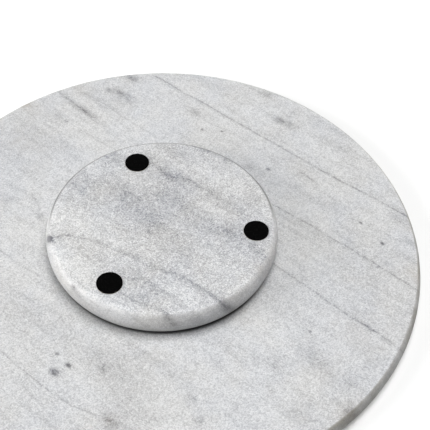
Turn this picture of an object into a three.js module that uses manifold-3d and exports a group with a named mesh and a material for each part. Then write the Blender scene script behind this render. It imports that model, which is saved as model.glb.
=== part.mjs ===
// A lazy susan: a round marble plate that turns on a ball bearing hidden in a small marble base.
// Millimetres, +Z up. It stands on the three pads of its base at z = 0 and turns about the Z axis.

import * as THREE from "three";
import { mergeVertices } from "three/addons/utils/BufferGeometryUtils.js";
import Module from "manifold-3d";

const wasm = await Module();
wasm.setup();

// ---- Driving dimensions ----

// The edge of each stone bulges in an arc of a circle from face to face, and its corners are
// rounded off: the plate's slightly, the base's more.
const plateRadius = 152.4;
const plateThickness = 12;
const plateEdgeCurve = 8.5;
const plateCornerEasing = 0.8;
const baseRadius = 67.25;
const baseThickness = 16;
const baseEdgeCurve = 14.2;
const baseCornerEasing = 2.4;

// The air gap that shows between the base and the plate.
const plateGap = 2.2;

// The pads are foam discs on an adhesive film, stuck on by hand, so their places differ a little.
const padRadius = 7.25;
const padFoamThickness = 0.65;
const padFilmThickness = 0.15;
const padPlaces = [
  { radius: 49.4, degrees: 73 },
  { radius: 54.3, degrees: 189 },
  { radius: 52.2, degrees: 304.5 },
];

// The pocket in the base that takes the bearing, and the bead that bonds the bearing in it.
const pocketRadius = 47.6;
const pocketDepth = 8;
const pocketEdgeBreak = 0.4;
const bondThickness = 0.3;
const bondInset = 0.5;

// The bearing: two rings of one height, set off from each other along Z, with balls between them.
const pitchRadius = 41;
const ballRadius = 3;
const ballCount = 18;
const grooveRadius = 3.15;
const ringClearance = 1;
const outerRingRadius = 47;
const innerRingBore = 29.5;
const ringEdgeBreak = 0.4;

// The cage that spaces the balls.
const cageThickness = 1.4;
const cageHeight = 8.2;
const cageWindowRadius = 3.2;

// The countersunk screws that hold the inner ring, in plastic plugs set into the plate.
const screwCount = 4;
const screwCircleRadius = 34;
const screwShankRadius = 1.55;
const screwHeadRadius = 3.4;
const screwHeadSink = 0.05;
const screwTipLength = 1.5;
const screwDepthInPlate = 6;
const screwHoleRadius = 1.9;
const countersinkRadius = 3.7;
const crossSlot = { length: 3.6, width: 0.9, depth: 1.3 };
const plugRadius = 3;
const plugRibDepth = 0.25;
const plugRibCount = 3;
const plugBoreRadius = 1.75;
const plugLength = 7;
const plugHoleRadius = 3.1;
const plugHoleDepth = 7.3;

// How finely round shapes are divided.
const plateSides = 120;
const baseSides = 96;
const edgeSteps = 8;
const cornerSteps = 4;
const ringSides = 60;
const padSides = 36;
const smallSides = 16;

// ---- Heights that follow ----

const baseBottom = padFoamThickness + padFilmThickness;
const baseTop = baseBottom + baseThickness;
const plateBottom = baseTop + plateGap;
const plateTop = plateBottom + plateThickness;
const pocketFloor = baseTop - pocketDepth;
const outerRingBottom = pocketFloor + bondThickness;

// The outer ring stays clear of the plate and the inner ring clear of the pocket's floor.
const ringOffset = 0.8;
const outerRingTop = plateBottom - ringOffset;
const innerRingBottom = outerRingBottom + ringOffset;
const innerRingTop = plateBottom;
const ballHeight = (outerRingBottom + innerRingTop) / 2;

// ---- Materials ----

function material(color, roughness, metalness = 0) {
  return new THREE.MeshStandardMaterial({ color, roughness, metalness });
}

const marble = material(0xd3d3d5, 0.55);
const foam = material(0x0b0b0b, 0.95);
const film = material(0xd8d2bd, 0.4);
const bond = material(0xc9c2a8, 0.35);
const aluminium = material(0xb9bcc0, 0.4, 1);
const ballSteel = material(0xc8cace, 0.12, 1);
const nylon = material(0xe6e4dc, 0.5);
const zincSteel = material(0xa9abb0, 0.35, 1);
const plugPlastic = material(0x8d9095, 0.6);

// ---- Shape helpers ----

function radians(degrees) {
  return (degrees * Math.PI) / 180;
}

// A point at a distance and an angle from the turning axis.
function polar(radius, degrees, z) {
  const angle = radians(degrees);
  return new THREE.Vector3(radius * Math.cos(angle), radius * Math.sin(angle), z);
}

// Points along a circle about (x, y), from one angle to another, in radians.
function arc(x, y, radius, from, to, steps) {
  return new THREE.EllipseCurve(x, y, radius, radius, from, to, to < from).getPoints(steps);
}

function point(radius, height) {
  return new THREE.Vector2(radius, height);
}

// Turns a profile of (radius, height) points round the Z axis.
function turned(profile, sides) {
  return new THREE.LatheGeometry(profile, sides).rotateX(Math.PI / 2);
}

// A ring whose profile closes on itself.
function turnedRing(profile, sides) {
  return turned([...profile, profile[0].clone()], sides);
}

// A cylinder that stands on z = bottom.
function disc(radius, height, sides, bottom = 0) {
  return new THREE.CylinderGeometry(radius, radius, height, sides)
    .rotateX(Math.PI / 2)
    .translate(0, 0, bottom + height / 2);
}

// ---- Cutting ----

function toSolid(geometry) {
  const bare = geometry.clone();
  bare.deleteAttribute("normal");
  bare.deleteAttribute("uv");
  const merged = mergeVertices(bare, 1e-4);
  return new wasm.Manifold(
    new wasm.Mesh({
      numProp: 3,
      vertProperties: new Float32Array(merged.attributes.position.array),
      triVerts: new Uint32Array(merged.index.array),
    }),
  );
}

function toGeometry(solid) {
  const mesh = solid.getMesh();
  const geometry = new THREE.BufferGeometry();
  geometry.setAttribute("position", new THREE.BufferAttribute(mesh.vertProperties, 3));
  geometry.setIndex(new THREE.BufferAttribute(mesh.triVerts, 1));
  const faceted = geometry.toNonIndexed();
  faceted.computeVertexNormals();
  return faceted;
}

// The body with every tool cut away from it.
function cut(body, tools) {
  const solid = tools.reduce((rest, tool) => rest.subtract(toSolid(tool)), toSolid(body));
  return toGeometry(solid);
}

// ---- The assembly ----

const lazySusan = new THREE.Group();

function add(name, geometry, look, place = new THREE.Vector3()) {
  const mesh = new THREE.Mesh(geometry, look);
  mesh.name = name;
  mesh.position.copy(place);
  lazySusan.add(mesh);
  return mesh;
}

// Angles spread evenly round the axis, in degrees.
function spread(count, first = 0) {
  return Array.from({ length: count }, (_, i) => first + (360 / count) * i);
}

const screwAngles = spread(screwCount, 45);

// ---- Plate ----

// The points that round off a profile's corner, between a point before it and one after it.
function roundedCorner(before, corner, after, steps) {
  const points = [];
  for (let i = 1; i < steps; i += 1) {
    const share = i / steps;
    const leaving = before.clone().lerp(corner, share);
    const arriving = corner.clone().lerp(after, share);
    points.push(leaving.lerp(arriving, share));
  }
  return points;
}

// The bulging edge of a stone disc, from its lower face to its upper one, with eased corners.
function bulgingEdge(radius, bottom, top, curve, easing) {
  const reach = Math.asin((top - bottom) / 2 / curve);
  const centre = radius - curve;
  const cornerRadius = centre + curve * Math.cos(reach);
  const bend = reach - easing / curve;
  const side = arc(centre, (bottom + top) / 2, curve, -bend, bend, edgeSteps);
  const lowerFace = point(cornerRadius - easing, bottom);
  const upperFace = point(cornerRadius - easing, top);
  return [
    lowerFace,
    ...roundedCorner(lowerFace, point(cornerRadius, bottom), side[0], cornerSteps),
    ...side,
    ...roundedCorner(side.at(-1), point(cornerRadius, top), upperFace, cornerSteps),
    upperFace,
  ];
}

function plateBlank() {
  const edge = bulgingEdge(plateRadius, plateBottom, plateTop, plateEdgeCurve, plateCornerEasing);
  return turned([point(0, plateBottom), ...edge, point(0, plateTop)], plateSides);
}

// A blind hole in the plate's underside, which starts a little below the face to cut it cleanly.
function plugHole(degrees) {
  const overrun = 1;
  const place = polar(screwCircleRadius, degrees, plateBottom - overrun);
  return disc(plugHoleRadius, plugHoleDepth + overrun, smallSides).translate(...place.toArray());
}

function addPlate() {
  add("marble_plate", cut(plateBlank(), screwAngles.map(plugHole)), marble);
}

// ---- Base ----

function addBase() {
  const profile = [
    point(0, baseBottom),
    ...bulgingEdge(baseRadius, baseBottom, baseTop, baseEdgeCurve, baseCornerEasing),
    point(pocketRadius + pocketEdgeBreak, baseTop),
    point(pocketRadius, baseTop - pocketEdgeBreak),
    point(pocketRadius, pocketFloor),
    point(0, pocketFloor),
  ];
  add("marble_base", turned(profile, baseSides), marble);
}

// ---- Pads ----

function addPads() {
  padPlaces.forEach(({ radius, degrees }, i) => {
    const place = polar(radius, degrees, 0);
    add(`foam_pad_${i + 1}`, disc(padRadius, padFoamThickness, padSides), foam, place);
    add(
      `pad_adhesive_film_${i + 1}`,
      disc(padRadius, padFilmThickness, padSides, padFoamThickness), film, place,
    );
  });
}

// ---- Bearing ----

// Half of the ball groove in a ring: side is 1 for the outer ring and -1 for the inner one.
// The points run up the groove on the inner ring and down it on the outer one.
function groove(side) {
  const opening = Math.acos(ringClearance / grooveRadius);
  const middle = side > 0 ? 0 : Math.PI;
  return arc(pitchRadius, ballHeight, grooveRadius, middle + opening, middle - opening, 6);
}

function addOuterRing() {
  const bore = pitchRadius + ringClearance;
  const profile = [
    point(bore, outerRingBottom),
    point(outerRingRadius, outerRingBottom),
    point(outerRingRadius, outerRingTop - ringEdgeBreak),
    point(outerRingRadius - ringEdgeBreak, outerRingTop),
    point(bore, outerRingTop),
    ...groove(1),
  ];
  add("bearing_outer_ring", turnedRing(profile, ringSides), aluminium);
}

// A screw hole through the inner ring, with a 90 degree countersink from below.
function screwHole(degrees) {
  const overrun = 0.5;
  const coneHeight = countersinkRadius - screwHoleRadius;
  const profile = [
    point(0, innerRingBottom - overrun),
    point(countersinkRadius + overrun, innerRingBottom - overrun),
    point(screwHoleRadius, innerRingBottom + coneHeight),
    point(screwHoleRadius, innerRingTop + overrun),
    point(0, innerRingTop + overrun),
  ];
  const place = polar(screwCircleRadius, degrees, 0);
  return turned(profile, smallSides).translate(place.x, place.y, 0);
}

function addInnerRing() {
  const rim = pitchRadius - ringClearance;
  const profile = [
    point(innerRingBore, innerRingTop),
    point(innerRingBore, innerRingBottom + ringEdgeBreak),
    point(innerRingBore + ringEdgeBreak, innerRingBottom),
    point(rim, innerRingBottom),
    ...groove(-1),
    point(rim, innerRingTop),
  ];
  const blank = turnedRing(profile, ringSides);
  add("bearing_inner_ring", cut(blank, screwAngles.map(screwHole)), aluminium);
}

function cageWindow(degrees) {
  const reach = 2 * cageThickness;
  const place = polar(pitchRadius, degrees, ballHeight);
  return new THREE.CylinderGeometry(cageWindowRadius, cageWindowRadius, reach, 12)
    .rotateZ(Math.PI / 2)
    .rotateZ(radians(degrees))
    .translate(...place.toArray());
}

function addCageAndBalls() {
  const inner = pitchRadius - cageThickness / 2;
  const outer = pitchRadius + cageThickness / 2;
  const bottom = ballHeight - cageHeight / 2;
  const top = ballHeight + cageHeight / 2;
  const band = turnedRing(
    [point(inner, bottom), point(outer, bottom), point(outer, top), point(inner, top)],
    ringSides,
  );
  const ballAngles = spread(ballCount);
  add("ball_cage", cut(band, ballAngles.map(cageWindow)), nylon);
  ballAngles.forEach((degrees, i) => {
    const ball = new THREE.SphereGeometry(ballRadius, 10, 6);
    add(`bearing_ball_${i + 1}`, ball, ballSteel, polar(pitchRadius, degrees, ballHeight));
  });
}

function addBond() {
  const inner = pitchRadius + ringClearance + bondInset;
  const outer = outerRingRadius - bondInset;
  const profile = [
    point(inner, pocketFloor),
    point(outer, pocketFloor),
    point(outer, outerRingBottom),
    point(inner, outerRingBottom),
  ];
  add("adhesive_bead", turnedRing(profile, ringSides), bond);
}

// ---- Screws and plugs ----

// A screw with its countersunk head down and its tip up, built round its own axis.
function screwBlank() {
  const headBottom = innerRingBottom + screwHeadSink;
  const headTop = headBottom + screwHeadRadius - screwShankRadius;
  const tip = plateBottom + screwDepthInPlate;
  return turned(
    [
      point(0, headBottom),
      point(screwHeadRadius, headBottom),
      point(screwShankRadius, headTop),
      point(screwShankRadius, tip - screwTipLength),
      point(0, tip),
    ],
    smallSides,
  );
}

function crossSlotTools() {
  const height = 2 * crossSlot.depth;
  const z = innerRingBottom + screwHeadSink;
  const along = new THREE.BoxGeometry(crossSlot.length, crossSlot.width, height);
  const across = new THREE.BoxGeometry(crossSlot.width, crossSlot.length, height);
  return [along.translate(0, 0, z), across.translate(0, 0, z)];
}

// A sleeve with shallow ribs round it.
function plugSleeve() {
  const pitch = plugLength / plugRibCount;
  const ribs = Array.from({ length: plugRibCount }, (_, i) => [
    point(plugRadius - plugRibDepth, i * pitch),
    point(plugRadius, (i + 0.6) * pitch),
    point(plugRadius - plugRibDepth, (i + 0.75) * pitch),
  ]).flat();
  const top = point(plugRadius - plugRibDepth, plugLength);
  const bore = [point(plugBoreRadius, plugLength), point(plugBoreRadius, 0)];
  return turnedRing([...ribs, top, ...bore], smallSides);
}

function addScrewsAndPlugs() {
  const screw = cut(screwBlank(), crossSlotTools());
  screwAngles.forEach((degrees, i) => {
    const onAxis = polar(screwCircleRadius, degrees, 0);
    const atFace = polar(screwCircleRadius, degrees, plateBottom);
    add(`ring_screw_${i + 1}`, screw.clone(), zincSteel, onAxis);
    add(`screw_plug_${i + 1}`, plugSleeve(), plugPlastic, atFace);
  });
}

addPlate();
addBase();
addPads();
addOuterRing();
addInnerRing();
addCageAndBalls();
addBond();
addScrewsAndPlugs();

export default lazySusan;
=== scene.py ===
import math

import bmesh
import bpy
from mathutils import Matrix, Vector, noise


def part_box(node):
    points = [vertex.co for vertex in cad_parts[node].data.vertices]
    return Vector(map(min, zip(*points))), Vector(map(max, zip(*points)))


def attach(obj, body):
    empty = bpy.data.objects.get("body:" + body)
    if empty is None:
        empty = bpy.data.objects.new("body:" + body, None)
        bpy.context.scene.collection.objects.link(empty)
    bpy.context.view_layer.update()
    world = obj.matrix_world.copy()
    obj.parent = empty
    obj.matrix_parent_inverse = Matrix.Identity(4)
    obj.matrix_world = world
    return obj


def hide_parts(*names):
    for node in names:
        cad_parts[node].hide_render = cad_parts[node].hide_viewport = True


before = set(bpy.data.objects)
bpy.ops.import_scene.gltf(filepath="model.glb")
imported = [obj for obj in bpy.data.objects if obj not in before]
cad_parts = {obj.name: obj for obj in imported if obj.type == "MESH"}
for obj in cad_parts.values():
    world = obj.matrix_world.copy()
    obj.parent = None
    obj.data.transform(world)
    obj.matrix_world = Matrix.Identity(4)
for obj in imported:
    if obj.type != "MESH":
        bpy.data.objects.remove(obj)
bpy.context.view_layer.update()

# The looks of a marble lazy susan, built round its CAD model. Metres, +Z up, turning about Z.
# The camera looks up at it from below, as it does when the turntable lies on its serving face.

MM = 0.001

# ---- Measures read from the frame ----

PLATE_LOW, PLATE_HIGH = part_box("marble_plate")
BASE_LOW, BASE_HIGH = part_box("marble_base")
PLATE_RADIUS = PLATE_HIGH.x
BASE_RADIUS = BASE_HIGH.x

# The same in millimetres, as the marble's pattern uses them.
PLATE_RIM = PLATE_RADIUS / MM
PLATE_UNDERSIDE = PLATE_LOW.z / MM
BASE_RIM = BASE_RADIUS / MM
BASE_FOOT = BASE_LOW.z / MM
BASE_TOP = BASE_HIGH.z / MM

# ---- Shapes of the two stones, as in the CAD model ----

PLATE_EDGE_CURVE = 8.5 * MM
BASE_EDGE_CURVE = 14.2 * MM
PLATE_CORNER_EASING = 0.8 * MM
BASE_CORNER_EASING = 2.4 * MM
POCKET_RADIUS = 47.6 * MM
POCKET_DEPTH = 8 * MM
POCKET_EDGE_BREAK = 0.4 * MM
PLUG_CIRCLE = 34 * MM
PLUG_HOLE_RADIUS = 3.1 * MM
PLUG_HOLE_DEPTH = 7.3 * MM
PLUG_COUNT = 4
FIRST_PLUG_ANGLE = 45
DRILL_OVERSHOOT = 1 * MM

# ---- Wear that the CAD model leaves out ----

# How far in from the rim the edges are worn, how deep each sort of wear goes, and how fine it is, in
# noise steps per millimetre. Chips come only where a slow noise is above CHIP_RARITY, and they reach
# up to CHIP_REACH of the stone's thickness from a corner.
WEAR_BAND = 4 * MM
WAVE_DEPTH = 0.10 * MM
WAVE_SCALE = 0.05
RIPPLE_DEPTH = 0.05 * MM
RIPPLE_SCALE = 0.5
CHIP_DEPTH = 0.9 * MM
CHIP_SPREAD = 0.09
CHIP_SCALE = 0.55
CHIP_RARITY = 0.45
CHIP_REACH = 0.2

# The pads' scales are in noise steps per metre.
PAD_EDGE_ROUNDING = 0.12 * MM
PAD_RAGGED_DEPTH = 0.06 * MM
PAD_RAGGED_SCALE = 900
PAD_DIMPLE_DEPTH = 0.05 * MM
PAD_DIMPLE_SCALE = 700

# ---- How finely the turned pieces are divided ----

PLATE_SIDES = 720
BASE_SIDES = 480
PAD_SIDES = 120
EDGE_STEPS = 28
CORNER_STEPS = 10
PAD_EDGE_STEPS = 4
HOLE_SIDES = 32

# ---- The marble's pattern, in millimetres in the X-Y plane of the part ----

# The bedding of both stones runs this way, in degrees from +X.
BEDDING = 40.8

# Each vein: its points, its half width and its strength.
PLATE_VEINS = [
    ([(4, 148), (-29, 119), (-60, 92), (-102, 54), (-149, 16)], 0.8, 0.85),
    ([(-67, 28), (-92, 7), (-120, -17), (-146, -41)], 0.9, 0.75),
    ([(-64, -18), (-92, -46), (-114, -66), (-130, -82)], 0.9, 0.7),
    ([(68, 132), (56, 119), (44, 107)], 1.3, 0.55),
    ([(60, 138), (36, 119), (0, 84)], 0.6, 0.4),
    ([(76, 118), (62, 104), (36, 82)], 0.6, 0.4),
    ([(44, 104), (24, 84)], 0.5, 0.3),
    ([(90, -71), (58, -101), (48, -108), (37, -113)], 0.6, 0.55),
    ([(98, 0), (86, -12), (70, -23)], 0.7, 0.45),
    ([(80, 40), (76, 34), (72, 22)], 1.4, 0.45),
    ([(78, -92), (66, -104), (56, -116)], 0.9, 0.3),
    ([(-88, 53), (-95, 46)], 1.5, 0.5),
    ([(28, 132), (20, 122)], 2.0, 0.5),
]

# Each patch: its centre, its half length along the bedding, its half width and its strength.
PLATE_PATCHES = [
    ((19, 146), 6, 3.5, 1.0),
    ((24, 128), 9, 4, 0.42),
    ((34, 133), 3, 2, 0.6),
    ((52, 115), 13, 2.4, 0.5),
    ((66, 108), 9, 3.5, 0.4),
    ((76, 64), 7, 5, 0.2),
    ((-24, 110), 5, 3, 0.5),
    ((-28, 93), 1.4, 1.0, 1.1),
    ((-40, 92), 1.2, 0.7, 1.0),
    ((-14, 88), 16, 8, 0.12),
    ((-82, 99), 8, 3, 1.0),
    ((-76, 88), 9, 3, 0.2),
    ((-88, 108), 2, 1.5, 0.5),
    ((-73, 127), 5, 4, 0.45),
    ((-116, 74), 14, 4, 0.26),
    ((-68, 57), 1.8, 1.2, 1.2),
    ((-56, 59), 3, 2, 0.4),
    ((-72, -116), 12, 8, 0.28),
    ((-88, -96), 10, 10, 0.2),
    ((-114, -50), 16, 16, 0.12),
    ((-84, 36), 9, 4, 0.12),
    ((-146, 12), 9, 6, 0.3),
    ((-130, -5), 1.6, 0.9, 1.5),
    ((-120, 11), 1.2, 0.7, 1.0),
    ((-148, -6), 6, 3, 0.4),
    ((-113, -65), 3.5, 1.8, 0.5),
    ((-102, -98), 7, 26, 0.25),
    ((-138, -58), 8, 8, 0.3),
    ((-94, -118), 4, 6, 0.8),
    ((58, -87), 2.6, 2.0, 1.8),
    ((51, -83), 1.6, 1.3, 1.5),
    ((58, -75), 1.1, 0.9, 1.3),
    ((30, -86), 24, 7, 0.36),
    ((16, -78), 12, 5, 0.2),
    ((34, -85), 3, 1.8, 0.7),
    ((20, -114), 16, 8, 0.2),
    ((29, -117), 5.0, 4.6, 0.85),
    ((-14, -105), 3, 1.8, 0.8),
    ((-16, -118), 2.6, 2.4, 0.6),
    ((-55, -102), 2.6, 2.2, 0.35),
    ((-80, -66), 1.0, 0.8, 1.1),
    ((-80, -82), 12, 7, 0.36),
    ((-58, -86), 10, 5, 0.25),
    ((-35, -76), 14, 5, 0.2),
    ((-4, -90), 22, 6, 0.2),
    ((94, 37), 5, 4, 0.45),
    ((74, 22), 3.5, 2, 0.5),
    ((80, -10), 0.9, 0.6, 0.5),
    ((62, -52), 14, 8, 0.15),
    ((80, 92), 24, 10, 0.28),
    ((-112, -14), 34, 26, 0.14),
]

BASE_VEINS = [
    ([(7, 50), (-3, 37), (-14, 33), (-25, 25), (-36, 16), (-45, 9), (-49, 2)], 4.2, 0.5),
    ([(-21, 61), (-31, 55), (-43, 46)], 1.6, 0.55),
    ([(67, -11), (63, -9), (56, -8), (49, -10), (43, -12)], 1.0, 0.75),
    ([(43, -12), (36, -14), (28, -19), (20, -23)], 1.4, 0.45),
    ([(18, -24), (8, -31), (0, -35)], 4.2, 0.32),
    ([(2, -34), (-8, -38), (-16, -44), (-22, -49), (-31, -58)], 1.8, 0.65),
    ([(24, -49), (15, -56), (6, -60), (-2, -64)], 1.8, 0.42),
    ([(-31, -29), (-45, -40)], 0.8, 0.25),
]

BASE_PATCHES = [
    ((65, -9.5), 2.8, 1.8, 2.4),
    ((49.5, -44), 1.8, 1.3, 1.5),
    ((48, -48), 3.5, 1.6, 0.35),
    ((46, 26), 16, 8, 0.16),
    ((56, 35), 5, 3, 0.35),
    ((22, 24), 20, 9, 0.3),
    ((-4, 22), 14, 8, 0.35),
    ((8, 6), 24, 8, 0.38),
    ((-22, 0), 20, 8, 0.36),
    ((-40, -10), 10, 6, 0.4),
    ((-53, -22), 8, 4, 0.45),
    ((-55, 17), 7, 5, 0.3),
    ((30, 54), 9, 5, 0.34),
    ((-10, 55), 12, 6, 0.4),
    ((-5, 36), 5, 3, 0.4),
    ((7, -8), 2.4, 1.4, 0.4),
    ((10, -45), 16, 6, 0.36),
    ((-8, -20), 14, 7, 0.25),
    ((-2, -67), 3.5, 2.5, 0.9),
    ((-33, -60), 5, 3.5, 0.9),
]

# Places where the stone is whiter, given as patches are. A few of them are painted light, as marked
# below.
BASE_WHITES_AND_PAINTED_LIGHT = [
    ((50, 2), 15, 7, 0.6),
    ((64, 8), 8, 6, 0.7),
    # This one lies by the base's +X rim, where the key light falls: partly the stone's own white and
    # partly painted light.
    ((56, -27), 24, 11, 0.85),
    ((32, -59), 20, 6, 0.5),
    ((-24, 38), 20, 6, 0.55),
    ((-36, -40), 12, 7, 0.15),
    ((-14, -56), 10, 4, 0.35),
    ((-27, 10), 8, 4, 0.15),
]
PLATE_WHITES_AND_PAINTED_LIGHT = [
    ((30, 104), 16, 5, 0.3),
    ((26, 136), 10, 4, 0.3),
    ((6, 128), 18, 7, 0.35),
    ((59, 105), 12, 8, 0.25),
    ((-28, 130), 24, 9, 0.25),
    ((-70, 80), 16, 4, 0.2),
    ((-50, 92), 20, 5, 0.2),
    # The next three lie beside the base's -X side, where the base's shadow falls on the plate: painted
    # light that lifts that shadow.
    ((-86, -12), 16, 12, 0.55),
    ((-88, 6), 14, 8, 0.3),
    ((-94, 18), 16, 7, 0.3),
    ((-76, 34), 7, 4, 0.3),
    ((-72, -42), 12, 8, 0.3),
    ((-66, -108), 8, 6, 0.3),
    ((56, -108), 8, 6, 0.25),
    ((88, 4), 8, 6, 0.3),
]

# Iron stains, mostly along the plate's rim, given as patches are.
PLATE_STAINS = [
    ((90, 121), 12, 5, 0.9),
    ((60, 140), 10, 3, 0.4),
    ((90, 86), 12, 9, 0.35),
    ((-8, 120), 12, 8, 0.12),
    ((-80, 70), 20, 8, 0.1),
    ((-148, -30), 9, 5, 0.7),
    ((-150, 4), 6, 3, 0.4),
    ((-106, -68), 16, 12, 0.3),
    ((-94, -118), 5, 9, 0.6),
    ((29, -117), 3.6, 3.6, 0.35),
    ((-55, -102), 3, 3, 0.2),
]
BASE_STAINS = [
    ((-54, -36), 6, 4, 0.4),
    ((-34, 46), 12, 8, 0.2),
    ((-8, 50), 10, 6, 0.15),
    ((42, -28), 16, 12, 0.15),
]


def along_bedding(x, y):
    """A point in the X-Y plane, as its places along and across the bedding."""
    angle = math.radians(BEDDING)
    along = x * math.cos(angle) + y * math.sin(angle)
    across = y * math.cos(angle) - x * math.sin(angle)
    return (along, across, 0.0)


# ---- Node building ----


class Graph:
    """A node tree that is built one call to a node."""

    def __init__(self, tree):
        self.tree = tree

    def put(self, socket, value):
        """Links a node's output to a socket, or sets the socket to a plain value."""
        if isinstance(value, bpy.types.NodeSocket):
            self.tree.links.new(value, socket)
        else:
            socket.default_value = value

    def node(self, kind, inputs=None, **settings):
        """A new node. inputs are by name or number, and settings are the node's own options."""
        made = self.tree.nodes.new(kind)
        for name, value in settings.items():
            setattr(made, name, value)
        for name, value in (inputs or {}).items():
            self.put(made.inputs[name], value)
        return made

    def math(self, operation, a, b=0.0, clamp=False):
        made = self.node("ShaderNodeMath", {0: a, 1: b}, operation=operation, use_clamp=clamp)
        return made.outputs[0]

    def add(self, a, b):
        return self.math("ADD", a, b)

    def times(self, a, b):
        return self.math("MULTIPLY", a, b)

    def vector(self, operation, a, b=(0, 0, 0)):
        made = self.node("ShaderNodeVectorMath", {0: a, 1: b}, operation=operation)
        return made.outputs["Value" if operation in ("LENGTH", "DOT_PRODUCT") else "Vector"]

    def number(self, vector, index):
        """One of a vector's three numbers."""
        return self.node("ShaderNodeSeparateXYZ", {0: vector}).outputs[index]

    def from_axis(self, point):
        """How far a point is from the Z axis."""
        return self.vector("LENGTH", self.vector("MULTIPLY", point, (1, 1, 0)))

    def noise_node(self, point, scale, detail, roughness):
        settings = {"Vector": point, "Scale": scale, "Detail": detail, "Roughness": roughness}
        return self.node("ShaderNodeTexNoise", settings)

    def noise(self, point, scale, detail, roughness):
        return self.noise_node(point, scale, detail, roughness).outputs[0]

    def jitter(self, point, size, scale, detail, roughness):
        """A vector that wanders about zero by up to half of size."""
        wild = self.noise_node(point, scale, detail, roughness).outputs[1]
        return self.vector("MULTIPLY", self.vector("SUBTRACT", wild, (0.5, 0.5, 0.5)), size)

    def cells(self, point, scale, output):
        """Crystal-like cells: their Color, one to a cell, or the Distance to the nearest middle."""
        return self.node("ShaderNodeTexVoronoi", {"Vector": point, "Scale": scale}).outputs[output]

    def remap(self, value, low, high, to_low=0.0, to_high=1.0):
        """An eased step: to_low where value is low or less, and to_high where it is high or more."""
        settings = {0: value, 1: low, 2: high, 3: to_low, 4: to_high}
        made = self.node("ShaderNodeMapRange", settings, interpolation_type="SMOOTHSTEP")
        return made.outputs[0]

    def blend(self, amount, a, b):
        """Colour a where amount is 0 and colour b where it is 1."""
        made = self.node("ShaderNodeMix", data_type="RGBA")
        for index, value in ((0, amount), (6, a), (7, b)):
            self.put(made.inputs[index], value)
        return made.outputs[2]

    def place(self):
        """The point in the part's frame, in millimetres. A piece keeps its own as it turns."""
        spot = self.node("ShaderNodeTexCoord").outputs["Object"]
        return self.vector("MULTIPLY", spot, (1000, 1000, 1000))


def colour(red, green, blue):
    return (red, green, blue, 1.0)


def new_material(name):
    """A material with only a Principled shader, as its graph and that shader."""
    made = bpy.data.materials.new(name)
    made.use_nodes = True
    graph = Graph(made.node_tree)
    return made, graph, made.node_tree.nodes["Principled BSDF"]


def set_shader(graph, shader, **values):
    """Links or sets the shader's sockets, whose names are given with _ for a space."""
    for name, value in values.items():
        graph.put(shader.inputs[name.replace("_", " ")], value)


def add_bump(graph, shader, height, distance, strength=1.0):
    """Relief that is distance metres deep where height goes from 0 to 1."""
    settings = {"Height": height, "Distance": distance, "Strength": strength}
    graph.put(shader.inputs["Normal"], graph.node("ShaderNodeBump", settings).outputs[0])


# ---- Marble ----

# The body of the stone and its darkest mineral, each between a cool tone and a warm one.
COOL_BODY = colour(0.585, 0.592, 0.605)
WARM_BODY = colour(0.592, 0.592, 0.59)
COOL_MINERAL = colour(0.14, 0.145, 0.17)
WARM_MINERAL = colour(0.16, 0.155, 0.16)
# The white of calcite, which the painted light among the whites also takes.
CALCITE_AND_PAINTED_LIGHT_WHITE = colour(0.86, 0.86, 0.85)

# What the stone has taken on: rust, cream and dust. The two darks after them are painted shade: one on
# the base's edge, one on the faces in the gap between the stones.
RUST = colour(0.36, 0.31, 0.25)
EDGE_CREAM = colour(0.68, 0.655, 0.62)
OLIVE_DUST = colour(0.27, 0.25, 0.20)
EDGE_SHADE_DARK = colour(0.10, 0.10, 0.10)
GAP_SHADE_DARK = colour(0.08, 0.08, 0.08)

# How far the pattern shifts along X and Y for each millimetre down through the stone, and how many
# crystals there are to a millimetre.
VEIN_LEAN = (0.35, -0.3)
CRYSTAL_SCALE = 1.6

# How fast a vein's darkness falls off sideways, for each half width.
VEIN_FALL = 1.4

# How far the pattern strays along and across the bedding, in millimetres, and how fine its clouds and
# streaks are along and across it, in noise steps per millimetre.
WANDER = (4.0, 3.0, 0.0)
RAGGEDNESS = (3.0, 1.3, 0.0)
CLOUD_SCALES = (0.012, 0.045, 1.0)
STREAK_SCALES = (0.022, 0.22, 1.0)

# How light behaves in the stone: how far it goes in, with red going furthest, and how far it bends.
LIGHT_DEPTH = 5 * MM
LIGHT_REACH = (1.0, 0.95, 0.9)
REFRACTION = 1.49
GRAIN_RELIEF = 0.05 * MM


def new_group(name, vectors, number):
    """An empty node group that takes some vectors and a number, and gives an amount."""
    tree = bpy.data.node_groups.new(name, "ShaderNodeTree")
    for vector in vectors:
        tree.interface.new_socket(vector, in_out="INPUT", socket_type="NodeSocketVector")
    tree.interface.new_socket(number, in_out="INPUT", socket_type="NodeSocketFloat")
    tree.interface.new_socket("Amount", in_out="OUTPUT", socket_type="NodeSocketFloat")
    return tree


def patch_group():
    """A node group: how much of a soft oval patch there is at a point."""
    tree = new_group("soft patch", ("Point", "Centre", "Size"), "Strength")
    graph = Graph(tree)
    given = graph.node("NodeGroupInput").outputs
    offset = graph.vector("DIVIDE", graph.vector("SUBTRACT", given[0], given[1]), given[2])
    distance = graph.vector("LENGTH", offset)
    fall = graph.math("EXPONENT", graph.times(graph.times(distance, distance), -1.0))
    graph.node("NodeGroupOutput", {0: graph.times(fall, given[3])})
    return tree


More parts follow.
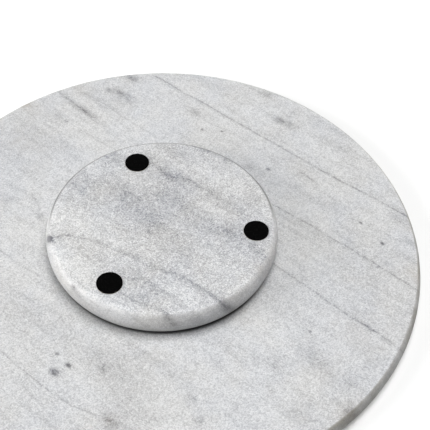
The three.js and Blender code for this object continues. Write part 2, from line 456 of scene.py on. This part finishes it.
def vein_group():
    """A node group: how much of a straight stretch of vein there is at a point."""
    tree = new_group("vein", ("Point", "Start", "End"), "Width")
    graph = Graph(tree)
    given = graph.node("NodeGroupInput").outputs
    whole = graph.vector("SUBTRACT", given[2], given[1])
    reached = graph.vector("SUBTRACT", given[0], given[1])
    along = graph.vector("DOT_PRODUCT", reached, whole)
    share = graph.math("DIVIDE", along, graph.vector("DOT_PRODUCT", whole, whole), clamp=True)
    scaled = graph.node("ShaderNodeVectorMath", {0: whole, "Scale": share}, operation="SCALE")
    away = graph.vector("LENGTH", graph.vector("SUBTRACT", reached, scaled.outputs[0]))
    steps = graph.math("DIVIDE", away, given[3])
    graph.node("NodeGroupOutput", {0: graph.math("EXPONENT", graph.times(steps, -VEIN_FALL))})
    return tree


def all_patches(graph, point, patches, group):
    """The sum of the patches at a point."""
    total = 0.0
    for (x, y), length, width, strength in patches:
        given = {0: point, 1: along_bedding(x, y), 2: (length, width, 1.0), 3: strength}
        made = graph.node("ShaderNodeGroup", given, node_tree=group)
        total = graph.add(total, made.outputs[0])
    return total


def all_veins(graph, point, veins, group):
    """The strongest vein at a point."""
    strongest = 0.0
    for points, width, strength in veins:
        for start, end in zip(points, points[1:]):
            given = {0: point, 1: along_bedding(*start), 2: along_bedding(*end), 3: width}
            made = graph.node("ShaderNodeGroup", given, node_tree=group)
            strongest = graph.math("MAXIMUM", strongest, graph.times(made.outputs[0], strength))
    return strongest


def edges_of_stones(graph, radius, height):
    """Two masks, soft over a millimetre or two: 1 on the base's edge and 1 on the plate's rim."""
    outside = graph.remap(radius, BASE_RIM - 4.0, BASE_RIM - 2.0)
    below_plate = graph.remap(height, PLATE_UNDERSIDE - 1.5, PLATE_UNDERSIDE - 0.5, 1.0, 0.0)
    plate_rim = graph.remap(radius, PLATE_RIM - 3.0, PLATE_RIM - 2.2)
    return graph.times(outside, below_plate), plate_rim


def gap_painted_shade(graph, radius, height):
    """1 on the faces that meet in the gap between the stones, which are darkened there as painted
    shade, else 0.
    """
    inside = graph.remap(radius, BASE_RIM - 3.5, BASE_RIM - 1.5, 1.0, 0.0)
    above = graph.remap(height, BASE_TOP - 0.7, BASE_TOP - 0.2)
    below = graph.remap(height, PLATE_UNDERSIDE + 0.2, PLATE_UNDERSIDE + 0.7, 1.0, 0.0)
    return graph.times(inside, graph.times(above, below))


def base_edge_painted_shade(graph, spot, height, base_edge):
    """How much painted shade lies on the base's edge: it grows towards the gap, and it lies in a thin
    line along the arris on the +Y side."""
    low = graph.remap(height, BASE_FOOT + 0.5, BASE_FOOT + 1.8, 0.95, 0.0)
    line = graph.times(low, graph.remap(graph.number(spot, 1), -8.0, 16.0))
    towards_gap = graph.remap(height, BASE_FOOT + 5.0, BASE_TOP, 0.0, 0.5)
    return graph.times(base_edge, graph.add(line, towards_gap))


def rim_dust(graph, spot, plate_rim):
    """How much olive dust the plate's rim has kept, in uneven patches."""
    uneven = graph.noise(spot, scale=0.09, detail=3.0, roughness=0.6)
    return graph.times(plate_rim, graph.remap(uneven, 0.35, 0.65, 0.25, 0.55))


def pattern_point(graph, spot, height, face_height):
    """Where spot lies in the pattern, along and across the bedding. Veins are sheets that lean as
    they go through the stone, so the pattern shifts with the depth below the face it was placed on.
    A gentle wander and a finer raggedness keep anything from running quite straight."""
    depth = graph.add(height, -face_height)
    shift = {0: graph.times(depth, VEIN_LEAN[0]), 1: graph.times(depth, VEIN_LEAN[1])}
    leant = graph.vector("ADD", spot, graph.node("ShaderNodeCombineXYZ", shift).outputs[0])
    flat = graph.vector("MULTIPLY", leant, (1, 1, 0))
    turn = {"Vector": flat, "Angle": -math.radians(BEDDING)}
    turned = graph.node("ShaderNodeVectorRotate", turn, rotation_type="Z_AXIS").outputs[0]
    wander = graph.jitter(spot, WANDER, scale=0.045, detail=2.0, roughness=0.5)
    ragged = graph.jitter(spot, RAGGEDNESS, scale=0.4, detail=3.0, roughness=0.6)
    return graph.vector("ADD", graph.vector("ADD", turned, wander), ragged)


def natural_darkness(graph, point, mottle):
    """How much darker the stone is for its clouds and streaks, drawn out along the bedding, and for
    its mottle."""
    cloud_point = graph.vector("MULTIPLY", point, CLOUD_SCALES)
    clouds = graph.noise(cloud_point, scale=1.0, detail=5.0, roughness=0.55)
    streak_point = graph.vector("MULTIPLY", point, STREAK_SCALES)
    streaks = graph.noise(streak_point, scale=1.0, detail=4.0, roughness=0.6)
    cloudy = graph.remap(clouds, 0.38, 0.74, -0.02, 0.08)
    streaky = graph.remap(streaks, 0.42, 0.74, -0.02, 0.13)
    mottled = graph.remap(mottle, 0.3, 0.75, -0.04, 0.09)
    return graph.add(graph.add(cloudy, streaky), mottled)


def placed_darkness(graph, spot, dark_places, whiter_and_painted_light):
    """How much darker the stone is for the listed veins and patches, and lighter for the listed
    whites, some of them painted light; the stone breaks these up.
    """
    broken = graph.remap(graph.noise(spot, scale=0.25, detail=3.0, roughness=0.6), 0.3, 0.6, 0.45, 1.0)
    darker = graph.times(graph.times(dark_places, broken), 0.75)
    return graph.math("SUBTRACT", darker, graph.times(whiter_and_painted_light, 0.2))


def speckle_darkness(graph, crystal, grain, sugar, edge):
    """How much the sugary crystals darken or whiten the stone. On an edge they show less."""
    coarse = graph.times(graph.add(crystal, -0.5), 0.36 * sugar)
    fine = graph.times(graph.add(grain, -0.5), 1.1 * sugar)
    return graph.times(graph.add(coarse, fine), graph.remap(edge, 0.0, 1.0, 1.0, 0.6))


def stone_colour(graph, spot, dark, tone):
    """The stone's colour, where dark is 0 for its body, 1 for its darkest mineral and less than 0
    where it is whiter."""
    tint = graph.remap(graph.noise(spot, scale=0.03, detail=3.0, roughness=0.5), 0.35, 0.65)
    body = graph.blend(tint, COOL_BODY, WARM_BODY)
    mineral = graph.blend(tint, COOL_MINERAL, WARM_MINERAL)
    stone = graph.blend(graph.math("ADD", dark, 1.0 - tone, clamp=True), body, mineral)
    whiter = graph.math("MAXIMUM", graph.times(dark, -1.0), 0.0)
    return graph.blend(graph.math("MULTIPLY", whiter, 1.2, clamp=True), stone, CALCITE_AND_PAINTED_LIGHT_WHITE)


def aged_colour(graph, spot, stone, stain):
    """The stone's colour with its iron stains and what its edges have taken on, and with painted shade
    on the base's edge and on the faces in the gap between the stones."""
    height = graph.number(spot, 2)
    radius = graph.from_axis(spot)
    base_edge, plate_rim = edges_of_stones(graph, radius, height)
    rusty = graph.blend(graph.math("MULTIPLY", stain, 0.5, clamp=True), stone, RUST)
    creamy = graph.blend(graph.times(base_edge, 0.16), rusty, EDGE_CREAM)
    dusty = graph.blend(rim_dust(graph, spot, plate_rim), creamy, OLIVE_DUST)
    # Painted shade on the base's edge, darker towards the gap and along the +Y arris.
    edge_shaded = graph.blend(base_edge_painted_shade(graph, spot, height, base_edge), dusty, EDGE_SHADE_DARK)
    # Painted shade on the faces in the gap between the stones.
    return graph.blend(gap_painted_shade(graph, radius, height), edge_shaded, GAP_SHADE_DARK)


def marble(name, pattern, groups, face_height, tone, sugar):
    """Honed grey-white marble. face_height is the Z, in millimetres, of the face that the pattern was
    placed on. tone is how light the stone is and sugar is how strong its fine grain is."""
    made, graph, shader = new_material(name)
    veins, patches, whites_and_painted_light, stains = pattern
    patch, vein = groups
    spot = graph.place()
    height = graph.number(spot, 2)
    edge = graph.math("MAXIMUM", *edges_of_stones(graph, graph.from_axis(spot), height))
    point = pattern_point(graph, spot, height, face_height)
    mottle = graph.noise(spot, scale=0.16, detail=4.0, roughness=0.62)
    crystal = graph.number(graph.cells(spot, CRYSTAL_SCALE, "Color"), 0)
    grain = graph.noise(spot, scale=CRYSTAL_SCALE, detail=2.0, roughness=0.8)

    veined = all_veins(graph, point, veins, vein)
    dark_places = graph.add(veined, all_patches(graph, point, patches, patch))
    whiter_and_painted_light = all_patches(graph, point, whites_and_painted_light, patch)
    natural = natural_darkness(graph, point, mottle)
    placed = placed_darkness(graph, spot, dark_places, whiter_and_painted_light)
    speckle = speckle_darkness(graph, crystal, grain, sugar, edge)
    stone = stone_colour(graph, spot, graph.add(graph.add(natural, placed), speckle), tone)

    stained = all_patches(graph, point, stains, patch)
    stain = graph.times(stained, graph.remap(mottle, 0.35, 0.6, 0.4, 1.0))
    face = aged_colour(graph, spot, stone, stain)

    polish = graph.remap(grain, 0.3, 0.7, 0.46, 0.6)
    set_shader(graph, shader, Base_Color=face, Roughness=polish, IOR=REFRACTION)
    set_shader(graph, shader, Subsurface_Weight=0.8, Subsurface_Scale=LIGHT_DEPTH)
    set_shader(graph, shader, Subsurface_Radius=LIGHT_REACH)
    relief = graph.add(graph.times(crystal, 0.4), grain)
    add_bump(graph, shader, relief, GRAIN_RELIEF, 0.8)
    return made


# ---- Other materials ----


def foam_material():
    """Black closed-cell foam with a little dust on it."""
    made, graph, shader = new_material("black foam")
    spot = graph.place()
    dust = graph.remap(graph.noise(spot, scale=0.9, detail=4.0, roughness=0.6), 0.45, 0.75)
    black = colour(0.001, 0.001, 0.001)
    dusty = colour(0.005, 0.0048, 0.0048)
    face = graph.blend(dust, black, dusty)
    set_shader(graph, shader, Base_Color=face, Roughness=0.95, Specular_IOR_Level=0.03)
    add_bump(graph, shader, graph.cells(spot, 2.6, "Distance"), 0.15 * MM, 0.8)
    return made


def film_material():
    """The yellowish film of a double-sided adhesive."""
    made, graph, shader = new_material("adhesive film")
    tone = graph.noise(graph.place(), scale=0.5, detail=3.0, roughness=0.5)
    dull_yellow = colour(0.50, 0.46, 0.36)
    pale_yellow = colour(0.68, 0.63, 0.50)
    set_shader(graph, shader, Base_Color=graph.blend(tone, dull_yellow, pale_yellow), Roughness=0.4)
    add_bump(graph, shader, tone, 0.05 * MM)
    return made


def epoxy_material():
    """Cured epoxy with a few small bubbles."""
    made, graph, shader = new_material("epoxy bead")
    spot = graph.place()
    bubbles = graph.remap(graph.cells(spot, 0.7, "Distance"), 0.0, 0.25)
    tone = graph.noise(spot, scale=0.15, detail=3.0, roughness=0.5)
    amber = colour(0.48, 0.43, 0.28)
    straw = colour(0.62, 0.58, 0.42)
    set_shader(graph, shader, Base_Color=graph.blend(tone, amber, straw), Roughness=0.3)
    add_bump(graph, shader, bubbles, 0.08 * MM)
    return made


def turned_aluminium():
    """Aluminium with the fine rings that a lathe leaves, round the Z axis."""
    made, graph, shader = new_material("turned aluminium")
    spot = graph.place()
    ring_spacing = 0.12
    place = {0: graph.from_axis(spot), 1: graph.number(spot, 2)}
    across = graph.node("ShaderNodeCombineXYZ", place).outputs[0]
    rings = graph.noise(across, scale=1.0 / ring_spacing, detail=2.0, roughness=0.6)
    smear = graph.noise(spot, scale=0.12, detail=4.0, roughness=0.6)
    groove = colour(0.66, 0.67, 0.69)
    crest = colour(0.80, 0.81, 0.82)
    face = graph.blend(rings, groove, crest)
    rough = graph.remap(smear, 0.3, 0.7, 0.24, 0.42)
    set_shader(graph, shader, Base_Color=face, Roughness=rough, Metallic=1.0)
    add_bump(graph, shader, rings, 0.02 * MM)
    return made


def polished_steel():
    """Ball steel, smeared here and there with grease."""
    made, graph, shader = new_material("ball steel")
    smear = graph.noise(graph.place(), scale=0.6, detail=3.0, roughness=0.5)
    grease = graph.remap(smear, 0.4, 0.65)
    bare = colour(0.66, 0.67, 0.69)
    greasy = colour(0.55, 0.54, 0.50)
    face = graph.blend(grease, bare, greasy)
    rough = graph.remap(grease, 0.0, 1.0, 0.08, 0.24)
    set_shader(graph, shader, Base_Color=face, Roughness=rough, Metallic=1.0)
    return made


def zinc_steel():
    """Steel plated with zinc, whose crystals differ a little in tone."""
    made, graph, shader = new_material("zinc-plated steel")
    spot = graph.place()
    tone = graph.number(graph.cells(spot, 1.4, "Color"), 0)
    dull = colour(0.50, 0.51, 0.55)
    bright = colour(0.68, 0.69, 0.70)
    face = graph.blend(tone, dull, bright)
    rough = graph.remap(tone, 0.0, 1.0, 0.28, 0.42)
    set_shader(graph, shader, Base_Color=face, Roughness=rough, Metallic=1.0)
    add_bump(graph, shader, graph.noise(spot, scale=4.0, detail=2.0, roughness=0.5), 0.02 * MM)
    return made


def moulded_plastic(name, light, dark, roughness):
    """A moulded plastic with a fine spark-eroded texture and faint flow marks."""
    made, graph, shader = new_material(name)
    spot = graph.place()
    flow_point = graph.vector("MULTIPLY", spot, (0.08, 0.3, 0.1))
    flow = graph.noise(flow_point, scale=1.0, detail=3.0, roughness=0.6)
    texture = graph.noise(spot, scale=3.5, detail=3.0, roughness=0.6)
    rough = graph.remap(texture, 0.3, 0.7, roughness - 0.06, roughness + 0.08)
    set_shader(graph, shader, Base_Color=graph.blend(flow, dark, light), Roughness=rough)
    add_bump(graph, shader, texture, 0.03 * MM)
    return made


def nylon():
    ivory = colour(0.80, 0.78, 0.72)
    dull_ivory = colour(0.70, 0.68, 0.62)
    return moulded_plastic("nylon", ivory, dull_ivory, roughness=0.45)


def plug_plastic():
    grey = colour(0.30, 0.32, 0.33)
    dark_grey = colour(0.22, 0.24, 0.25)
    return moulded_plastic("plug plastic", grey, dark_grey, roughness=0.5)


# ---- Shapes ----


def arc(x, z, radius, start, end, steps):
    """Points (radius, height) along a circle about (x, z), between two angles in radians."""
    angles = [start + (end - start) * i / steps for i in range(steps + 1)]
    return [(x + radius * math.cos(a), z + radius * math.sin(a)) for a in angles]


def eased_corner(start, corner, end):
    """Points that round a corner off, without its two ends."""
    shares = [i / CORNER_STEPS for i in range(1, CORNER_STEPS)]
    return [
        tuple((1 - t) ** 2 * a + 2 * t * (1 - t) * b + t**2 * c for a, b, c in zip(start, corner, end))
        for t in shares
    ]


def bulging_edge(radius, bottom, top, curve, easing):
    """The edge of a stone disc: an arc from its lower face to its upper one, with eased corners."""
    middle = (bottom + top) / 2
    reach = math.asin((top - bottom) / 2 / curve)
    bend = reach - easing / curve
    corner = radius - curve + curve * math.cos(reach)
    side = arc(radius - curve, middle, curve, -bend, bend, EDGE_STEPS)
    low_face = (corner - easing, bottom)
    high_face = (corner - easing, top)
    low_corner = eased_corner(low_face, (corner, bottom), side[0])
    high_corner = eased_corner(side[-1], (corner, top), high_face)
    return [low_face, *low_corner, *side, *high_corner, high_face]


def plate_profile():
    """The plate's underside from the axis out, its rim, and its serving face back to the axis."""
    low, high = PLATE_LOW.z, PLATE_HIGH.z
    face = [PLATE_RADIUS * share for share in (0.0, 0.1, 0.3, 0.5, 0.7, 0.85, 0.95)]
    underside = [(radius, low) for radius in face]
    rim = bulging_edge(PLATE_RADIUS, low, high, PLATE_EDGE_CURVE, PLATE_CORNER_EASING)
    serving_face = [(radius, high) for radius in reversed(face)]
    return underside + rim + serving_face


def base_profile():
    """The base's foot from the axis out, its edge, and its top down into the bearing pocket."""
    low, high = BASE_LOW.z, BASE_HIGH.z
    floor = high - POCKET_DEPTH
    foot = [(BASE_RADIUS * share, low) for share in (0.0, 0.2, 0.5, 0.8, 0.9)]
    edge = bulging_edge(BASE_RADIUS, low, high, BASE_EDGE_CURVE, BASE_CORNER_EASING)
    pocket = [
        (POCKET_RADIUS + POCKET_EDGE_BREAK, high),
        (POCKET_RADIUS, high - POCKET_EDGE_BREAK),
        (POCKET_RADIUS, floor),
        (POCKET_RADIUS / 2, floor),
        (0.0, floor),
    ]
    return foot + edge + pocket


def ring_of_points(mesh, radius, height, sides, wear):
    """One level ring of a turned piece's vertices. On the axis it is a single vertex."""
    if radius == 0.0:
        return [mesh.verts.new((0.0, 0.0, height))]
    ring = []
    for i in range(sides):
        angle = 2 * math.pi * i / sides
        way = Vector((math.cos(angle), math.sin(angle), 0.0))
        spot = way * radius + Vector((0.0, 0.0, height))
        ring.append(mesh.verts.new(spot - way * wear(spot)))
    return ring


def join_rings(mesh, low, high, sides):
    """Faces between two rings that follow each other along a profile."""
    for i in range(sides):
        j = (i + 1) % sides
        if len(low) == 1:
            mesh.faces.new((low[0], high[j], high[i]))
        elif len(high) == 1:
            mesh.faces.new((low[i], low[j], high[0]))
        else:
            mesh.faces.new((low[i], low[j], high[j], high[i]))


def turned_piece(name, profile, sides, wear, material):
    """Turns a profile that starts and ends on the axis round Z. wear(point) is how far, in metres,
    the piece has worn back at that point."""
    mesh = bmesh.new()
    rings = [ring_of_points(mesh, radius, height, sides, wear) for radius, height in profile]
    for low, high in zip(rings, rings[1:]):
        join_rings(mesh, low, high, sides)
    bmesh.ops.recalc_face_normals(mesh, faces=mesh.faces)
    for face in mesh.faces:
        face.smooth = True
    data = bpy.data.meshes.new(name)
    mesh.to_mesh(data)
    mesh.free()
    data.materials.append(material)
    piece = bpy.data.objects.new(name, data)
    bpy.context.scene.collection.objects.link(piece)
    return piece


def edge_wear(rim_radius, low, high):
    """The wear of a stone disc: small unevenness and chips near its rim, none on its faces."""

    def wear(spot):
        near = max(0.0, 1.0 - (rim_radius - math.hypot(spot.x, spot.y)) / WEAR_BAND)
        if near == 0.0:
            return 0.0
        unit = spot / MM
        wave = WAVE_DEPTH * (0.5 + 0.5 * noise.noise(unit * WAVE_SCALE))
        ripple = RIPPLE_DEPTH * (0.5 + 0.5 * noise.noise(unit * RIPPLE_SCALE))
        from_corner = min(abs(spot.z - low), abs(high - spot.z)) / (high - low)
        which_corner = 7.0 if spot.z > (low + high) / 2 else 0.0
        place = Vector((unit.x * CHIP_SPREAD, unit.y * CHIP_SPREAD, which_corner))
        chance = max(0.0, noise.noise(place) - CHIP_RARITY)
        bite = max(0.0, noise.noise(unit * CHIP_SCALE + Vector((3.0, 1.0, 5.0))))
        chip = CHIP_DEPTH * chance * bite * max(0.0, 1 - from_corner / CHIP_REACH)
        return near * (wave + ripple + chip)

    return wear


def drill(piece, places, radius, bottom, top):
    """Cuts upright holes into a piece."""
    mesh = bmesh.new()
    size = {"segments": HOLE_SIDES, "radius1": radius, "radius2": radius, "depth": top - bottom}
    for x, y in places:
        move = Matrix.Translation((x, y, (bottom + top) / 2))
        bmesh.ops.create_cone(mesh, cap_ends=True, matrix=move, **size)
    data = bpy.data.meshes.new("drill")
    mesh.to_mesh(data)
    mesh.free()
    tool = bpy.data.objects.new("drill", data)
    bpy.context.scene.collection.objects.link(tool)
    cut = piece.modifiers.new("holes", "BOOLEAN")
    cut.object = tool
    cut.operation = "DIFFERENCE"
    bpy.context.view_layer.update()
    graph = bpy.context.evaluated_depsgraph_get()
    result = bpy.data.meshes.new_from_object(piece.evaluated_get(graph))
    piece.modifiers.clear()
    piece.data = result
    bpy.data.objects.remove(tool)


def make_plate(material):
    """The plate's stone, with the holes that its plugs sit in."""
    wear = edge_wear(PLATE_RADIUS, PLATE_LOW.z, PLATE_HIGH.z)
    piece = turned_piece("plate_stone", plate_profile(), PLATE_SIDES, wear, material)
    angles = [math.radians(FIRST_PLUG_ANGLE + 360 / PLUG_COUNT * i) for i in range(PLUG_COUNT)]
    places = [(PLUG_CIRCLE * math.cos(a), PLUG_CIRCLE * math.sin(a)) for a in angles]
    low = PLATE_LOW.z
    drill(piece, places, PLUG_HOLE_RADIUS, low - DRILL_OVERSHOOT, low + PLUG_HOLE_DEPTH)
    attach(piece, "plate")
    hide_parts("marble_plate")


def make_base(material):
    """The base's stone, with its bearing pocket."""
    wear = edge_wear(BASE_RADIUS, BASE_LOW.z, BASE_HIGH.z)
    piece = turned_piece("base_stone", base_profile(), BASE_SIDES, wear, material)
    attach(piece, "base")
    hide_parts("marble_base")


def make_pad(node, material):
    """A die-cut foam disc: its skin dimples a little and its cut edge is slightly ragged."""
    low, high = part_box(node)
    centre = (low + high) / 2
    radius = (high.x - low.x) / 2
    thickness = high.z - low.z
    rounding = PAD_EDGE_ROUNDING
    skin = [(radius * share, 0.0) for share in (0.0, 0.15, 0.3, 0.45, 0.6, 0.75, 0.88)]
    edge = arc(radius - rounding, rounding, rounding, -math.pi / 2, 0.0, PAD_EDGE_STEPS)
    glued_face = [(radius, thickness), (radius * 0.5, thickness), (0.0, thickness)]

    def ragged(spot):
        share = math.hypot(spot.x, spot.y) / radius
        return PAD_RAGGED_DEPTH * (0.5 + noise.noise((spot + centre) * PAD_RAGGED_SCALE)) * share**6

    piece = turned_piece(node + "_skin", skin + edge + glued_face, PAD_SIDES, ragged, material)
    for vertex in piece.data.vertices:
        if vertex.co.z < thickness / 2:
            dimple = 0.5 + 0.5 * noise.noise((vertex.co + centre) * PAD_DIMPLE_SCALE)
            vertex.co.z += PAD_DIMPLE_DEPTH * dimple
        vertex.co += Vector((centre.x, centre.y, low.z))
    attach(piece, "base")
    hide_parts(node)


def dress(names, material):
    """Gives CAD nodes a material."""
    for name in names:
        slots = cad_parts[name].data.materials
        slots.clear()
        slots.append(material)


def nodes_starting(start):
    """The names of the CAD nodes that start so, in order."""
    return sorted(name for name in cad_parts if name.startswith(start))


# ---- Stage, lights and camera ----

# The surface that the turntable stands on is seen only from above. The one that its serving face
# lies on is seen only from below. Neither stops any light, so each view is lit from its own side.
FLOOR_SIZE = 6.0
FLOOR_FADE_START = 0.35
FLOOR_FADE_END = 1.0
FLOOR_GAP = 0.2 * MM
FLOOR_WHITE = colour(0.93, 0.93, 0.925)

# The painted contact shadow that darkens a floor in the narrow space under the part: its grey, and how
# far it feels the part above it.
CONTACT_SHADOW_GREY = colour(0.12, 0.12, 0.12)
CONTACT_REACH = 0.05

# The point that every light is aimed at, and the light that comes from all round.
LIGHT_AIM = Vector((0.0, 0.0, 0.015))
FILL_BELOW = 0.13
FILL_ABOVE = 0.5
FILL_COLOUR = colour(0.98, 0.99, 1.0)


def floor_material(name, contact_shadow):
    """A white floor that can't be seen from behind and fades out into the white backdrop. Its last
    argument is how much painted contact shadow, a dark grey, it takes on close to the part."""
    made, graph, shader = new_material(name)
    # Painted shadow: where ambient occlusion finds the part close by, the floor's colour goes towards
    # a dark grey.
    open_share = graph.node("ShaderNodeAmbientOcclusion", {"Distance": CONTACT_REACH}).outputs["AO"]
    shade = graph.times(graph.math("SUBTRACT", 1.0, open_share), contact_shadow)
    face = graph.blend(shade, FLOOR_WHITE, CONTACT_SHADOW_GREY)
    set_shader(graph, shader, Base_Color=face, Roughness=0.9, Specular_IOR_Level=0.0)
    clear = graph.node("ShaderNodeBsdfTransparent").outputs[0]
    back = graph.node("ShaderNodeNewGeometry").outputs["Backfacing"]
    place = graph.node("ShaderNodeTexCoord").outputs["Object"]
    faded = graph.remap(graph.vector("LENGTH", place), FLOOR_FADE_START, FLOOR_FADE_END)
    unseen = graph.math("MAXIMUM", back, faded)
    both = graph.node("ShaderNodeMixShader", {0: unseen, 1: shader.outputs[0], 2: clear}).outputs[0]
    graph.put(made.node_tree.nodes["Material Output"].inputs[0], both)
    return made


def make_floor(name, height, faces_up, material):
    """A square floor that only the camera sees."""
    half = FLOOR_SIZE / 2
    corners = [(-half, -half, 0), (half, -half, 0), (half, half, 0), (-half, half, 0)]
    data = bpy.data.meshes.new(name)
    data.from_pydata(corners, [], [(0, 1, 2, 3) if faces_up else (3, 2, 1, 0)])
    data.materials.append(material)
    floor = bpy.data.objects.new(name, data)
    floor.location.z = height
    floor.visible_shadow = False
    floor.visible_diffuse = False
    floor.visible_glossy = False
    floor.visible_transmission = False
    bpy.context.scene.collection.objects.link(floor)


def softbox(name, place, size, power):
    """A round soft light of size metres and power watts, aimed at the middle of the part."""
    data = bpy.data.lights.new(name, "AREA")
    data.shape = "DISK"
    data.size = size
    data.energy = power
    light = bpy.data.objects.new(name, data)
    light.location = place
    way = LIGHT_AIM - Vector(place)
    light.rotation_euler = way.to_track_quat("-Z", "Y").to_euler()
    light.visible_camera = False
    bpy.context.scene.collection.objects.link(light)


def make_lights():
    """Four lights below the part, where the main camera is, and one above it. Left, right and front
    are as that camera sees them."""
    softbox("below_overhead", (-0.2, 0.0, -1.56), size=1.0, power=22.2)
    softbox("below_left", (1.45, -0.3, -0.6), size=1.0, power=18.5)
    softbox("below_front", (0.5, -1.3, -0.8), size=0.8, power=1.8)
    softbox("below_right", (-1.05, 1.05, -0.6), size=0.8, power=3.2)
    softbox("above_overhead", (0.0, 0.0, 1.9), size=1.2, power=26)


def make_world():
    """Light thrown back by the white surroundings, stronger from above than from below, and a
    white backdrop for the camera."""
    world = bpy.data.worlds.new("studio")
    world.use_nodes = True
    graph = Graph(world.node_tree)
    world.node_tree.nodes.clear()
    way = graph.node("ShaderNodeTexCoord").outputs["Generated"]
    strength = graph.remap(graph.number(way, 2), -0.1, 0.1, FILL_BELOW, FILL_ABOVE)
    seen = graph.node("ShaderNodeLightPath").outputs["Is Camera Ray"]
    fill = graph.node("ShaderNodeBackground", {0: FILL_COLOUR, 1: strength}).outputs[0]
    white = graph.node("ShaderNodeBackground", {0: colour(1, 1, 1), 1: 1.0}).outputs[0]
    both = graph.node("ShaderNodeMixShader", {0: seen, 1: fill, 2: white}).outputs[0]
    graph.node("ShaderNodeOutputWorld", {0: both})
    bpy.context.scene.world = world


# The camera looks up from below at a point in the plane of the serving face. Its distance is in
# metres from that face's middle, its angles are in degrees and its lens in millimetres.
CAMERA_DISTANCE = 0.5802
CAMERA_ELEVATION = -51.765
CAMERA_AIM = (-32.8 * MM, 30.1 * MM)
CAMERA_ROLL = 2.37
CAMERA_LENS = 80.8
SENSOR_WIDTH = 36.0


def make_camera():
    """The main camera, at the photograph's viewing angle. The photograph shows the part upside down,
    so down in the part's frame is up in the picture."""
    data = bpy.data.cameras.new("camera")
    data.lens = CAMERA_LENS
    data.sensor_width = SENSOR_WIDTH
    data.clip_start = 0.01
    data.clip_end = 50.0
    camera = bpy.data.objects.new("camera", data)
    elevation = math.radians(CAMERA_ELEVATION)
    face = Vector((0.0, 0.0, PLATE_HIGH.z))
    place = face + CAMERA_DISTANCE * Vector((0.0, -math.cos(elevation), math.sin(elevation)))
    aim = face + Vector((*CAMERA_AIM, 0.0))
    back = (place - aim).normalized()
    right = Vector((0.0, 0.0, -1.0)).cross(back).normalized()
    up = back.cross(right)
    turn = Matrix((right, up, back)).transposed().to_4x4()
    roll = Matrix.Rotation(math.radians(CAMERA_ROLL), 4, "Z")
    camera.matrix_world = Matrix.Translation(place) @ turn @ roll
    bpy.context.scene.collection.objects.link(camera)
    bpy.context.scene.camera = camera


# ---- The scene ----


def make_stones():
    """The two stones. Each has its pattern placed on the face that the main camera sees."""
    groups = (patch_group(), vein_group())
    plate_pattern = (PLATE_VEINS, PLATE_PATCHES, PLATE_WHITES_AND_PAINTED_LIGHT, PLATE_STAINS)
    base_pattern = (BASE_VEINS, BASE_PATCHES, BASE_WHITES_AND_PAINTED_LIGHT, BASE_STAINS)
    plate_looks = {"face_height": PLATE_UNDERSIDE, "tone": 0.97, "sugar": 1.25}
    base_looks = {"face_height": BASE_FOOT, "tone": 0.87, "sugar": 1.6}
    make_plate(marble("plate marble", plate_pattern, groups, **plate_looks))
    make_base(marble("base marble", base_pattern, groups, **base_looks))


def make_pads():
    foam = foam_material()
    for pad in nodes_starting("foam_pad_"):
        make_pad(pad, foam)
    dress(nodes_starting("pad_adhesive_film_"), film_material())


def dress_bearing():
    dress(["adhesive_bead"], epoxy_material())
    dress(["bearing_outer_ring", "bearing_inner_ring"], turned_aluminium())
    dress(["ball_cage"], nylon())
    dress(nodes_starting("bearing_ball_"), polished_steel())
    dress(nodes_starting("ring_screw_"), zinc_steel())
    dress(nodes_starting("screw_plug_"), plug_plastic())


def make_stage():
    """The two floors. Only the lower one has painted contact shadow near the part: it is seen past the
    narrow gap.
    """
    under_pads = floor_material("floor under the pads", contact_shadow=0.7)
    at_plate = floor_material("floor at the plate", contact_shadow=0.0)
    make_floor("lower_floor", -FLOOR_GAP, True, under_pads)
    make_floor("upper_floor", PLATE_HIGH.z + FLOOR_GAP, False, at_plate)


make_stones()
make_pads()
dress_bearing()
make_stage()
make_lights()
make_world()
make_camera()
bpy.context.scene.view_settings.view_transform = "Standard"
